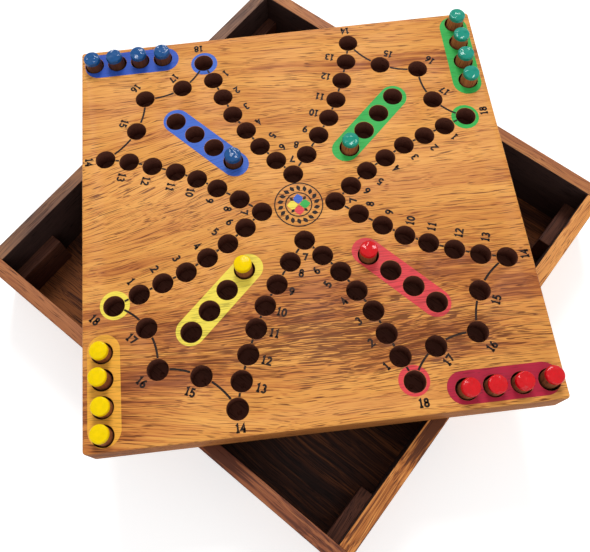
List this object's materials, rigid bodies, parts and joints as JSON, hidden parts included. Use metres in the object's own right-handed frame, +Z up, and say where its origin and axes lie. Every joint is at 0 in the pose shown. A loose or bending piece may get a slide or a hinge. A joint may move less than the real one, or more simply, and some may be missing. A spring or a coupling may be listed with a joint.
{
  "type": "travel tock game",
  "caption": "Wooden travel board game: a drilled square board lies turned on the rim of its open storage box, with small turned pegs standing in its holes.",
  "frame": {"origin": "centre of the underside of the storage box, the face it stands on", "axes": "+Z up, +X and +Y square to the walls of the box; the board lies turned by 45 degrees about Z"},
  "size_m": [0.285, 0.285, 0.0657],
  "materials": {
    "box_wood": "oiled, open pores",
    "panel_wood": "oiled, open pores",
    "board_wood": "satin lacquer",
    "red_peg": "gloss paint on the tip, bare wood below",
    "yellow_peg": "gloss paint on the tip, bare wood below",
    "blue_peg": "gloss paint on the tip, bare wood below",
    "green_peg": "gloss paint on the tip, bare wood below"
  },
  "bodies": {
    "box": {"front_wall": "box_wood", "back_wall": "box_wood", "left_wall": "box_wood", "right_wall": "box_wood", "bottom_panel": "panel_wood", "rest_block_front_left": "box_wood", "rest_block_front_right": "box_wood", "rest_block_back_left": "box_wood", "rest_block_back_right": "box_wood"},
    "board": {"game_board": "board_wood"},
    "red_peg_1_body": {"red_peg_1": "red_peg"},
    "red_peg_2_body": {"red_peg_2": "red_peg"},
    "red_peg_3_body": {"red_peg_3": "red_peg"},
    "red_peg_4_body": {"red_peg_4": "red_peg"},
    "red_peg_5_body": {"red_peg_5": "red_peg"},
    "yellow_peg_1_body": {"yellow_peg_1": "yellow_peg"},
    "yellow_peg_2_body": {"yellow_peg_2": "yellow_peg"},
    "yellow_peg_3_body": {"yellow_peg_3": "yellow_peg"},
    "yellow_peg_4_body": {"yellow_peg_4": "yellow_peg"},
    "yellow_peg_5_body": {"yellow_peg_5": "yellow_peg"},
    "blue_peg_1_body": {"blue_peg_1": "blue_peg"},
    "blue_peg_2_body": {"blue_peg_2": "blue_peg"},
    "blue_peg_3_body": {"blue_peg_3": "blue_peg"},
    "blue_peg_4_body": {"blue_peg_4": "blue_peg"},
    "blue_peg_5_body": {"blue_peg_5": "blue_peg"},
    "green_peg_1_body": {"green_peg_1": "green_peg"},
    "green_peg_2_body": {"green_peg_2": "green_peg"},
    "green_peg_3_body": {"green_peg_3": "green_peg"},
    "green_peg_4_body": {"green_peg_4": "green_peg"},
    "green_peg_5_body": {"green_peg_5": "green_peg"}
  },
  "joints": [
    {"name": "board_lift", "type": "slide", "parent": "box", "child": "board", "axis": [0, 0, 1], "range_m": [0, 0.06]},
    {"name": "red_peg_1_lift", "type": "slide", "parent": "board", "child": "red_peg_1_body", "axis": [0.0395, 0, 0.9992], "range_m": [0, 0.012]},
    {"name": "red_peg_2_lift", "type": "slide", "parent": "board", "child": "red_peg_2_body", "axis": [0.0123, -0.0321, 0.9994], "range_m": [0, 0.012]},
    {"name": "red_peg_3_lift", "type": "slide", "parent": "board", "child": "red_peg_3_body", "axis": [-0.0049, -0.0444, 0.999], "range_m": [0, 0.012]},
    {"name": "red_peg_4_lift", "type": "slide", "parent": "board", "child": "red_peg_4_body", "axis": [-0.0123, 0.0419, 0.999], "range_m": [0, 0.012]},
    {"name": "red_peg_5_lift", "type": "slide", "parent": "board", "child": "red_peg_5_body", "axis": [-0.0271, -0.0025, 0.9996], "range_m": [0, 0.012]},
    {"name": "yellow_peg_1_lift", "type": "slide", "parent": "board", "child": "yellow_peg_1_body", "axis": [0.0197, -0.0099, 0.9998], "range_m": [0, 0.012]},
    {"name": "yellow_peg_2_lift", "type": "slide", "parent": "board", "child": "yellow_peg_2_body", "axis": [-0.037, -0.0173, 0.9992], "range_m": [0, 0.012]},
    {"name": "yellow_peg_3_lift", "type": "slide", "parent": "board", "child": "yellow_peg_3_body", "axis": [0.0419, -0.0025, 0.9991], "range_m": [0, 0.012]},
    {"name": "yellow_peg_4_lift", "type": "slide", "parent": "board", "child": "yellow_peg_4_body", "axis": [-0.0025, 0.0074, 1], "range_m": [0, 0.012]},
    {"name": "yellow_peg_5_lift", "type": "slide", "parent": "board", "child": "yellow_peg_5_body", "axis": [-0.037, 0.0074, 0.9993], "range_m": [0, 0.012]},
    {"name": "blue_peg_1_lift", "type": "slide", "parent": "board", "child": "blue_peg_1_body", "axis": [0.0444, 0, 0.999], "range_m": [0, 0.012]},
    {"name": "blue_peg_2_lift", "type": "slide", "parent": "board", "child": "blue_peg_2_body", "axis": [0.0222, -0.0074, 0.9997], "range_m": [0, 0.012]},
    {"name": "blue_peg_3_lift", "type": "slide", "parent": "board", "child": "blue_peg_3_body", "axis": [0.0025, -0.037, 0.9993], "range_m": [0, 0.012]},
    {"name": "blue_peg_4_lift", "type": "slide", "parent": "board", "child": "blue_peg_4_body", "axis": [0.0345, -0.0197, 0.9992], "range_m": [0, 0.012]},
    {"name": "blue_peg_5_lift", "type": "slide", "parent": "board", "child": "blue_peg_5_body", "axis": [0.0247, -0.0049, 0.9997], "range_m": [0, 0.012]},
    {"name": "green_peg_1_lift", "type": "slide", "parent": "board", "child": "green_peg_1_body", "axis": [0.0197, 0, 0.9998], "range_m": [0, 0.012]},
    {"name": "green_peg_2_lift", "type": "slide", "parent": "board", "child": "green_peg_2_body", "axis": [0.0074, 0.0025, 1], "range_m": [0, 0.012]},
    {"name": "green_peg_3_lift", "type": "slide", "parent": "board", "child": "green_peg_3_body", "axis": [0.0123, 0.0271, 0.9996], "range_m": [0, 0.012]},
    {"name": "green_peg_4_lift", "type": "slide", "parent": "board", "child": "green_peg_4_body", "axis": [0.0099, 0.0444, 0.999], "range_m": [0, 0.012]},
    {"name": "green_peg_5_lift", "type": "slide", "parent": "board", "child": "green_peg_5_body", "axis": [-0.0099, 0.0296, 0.9995], "range_m": [0, 0.012]}
  ]
}
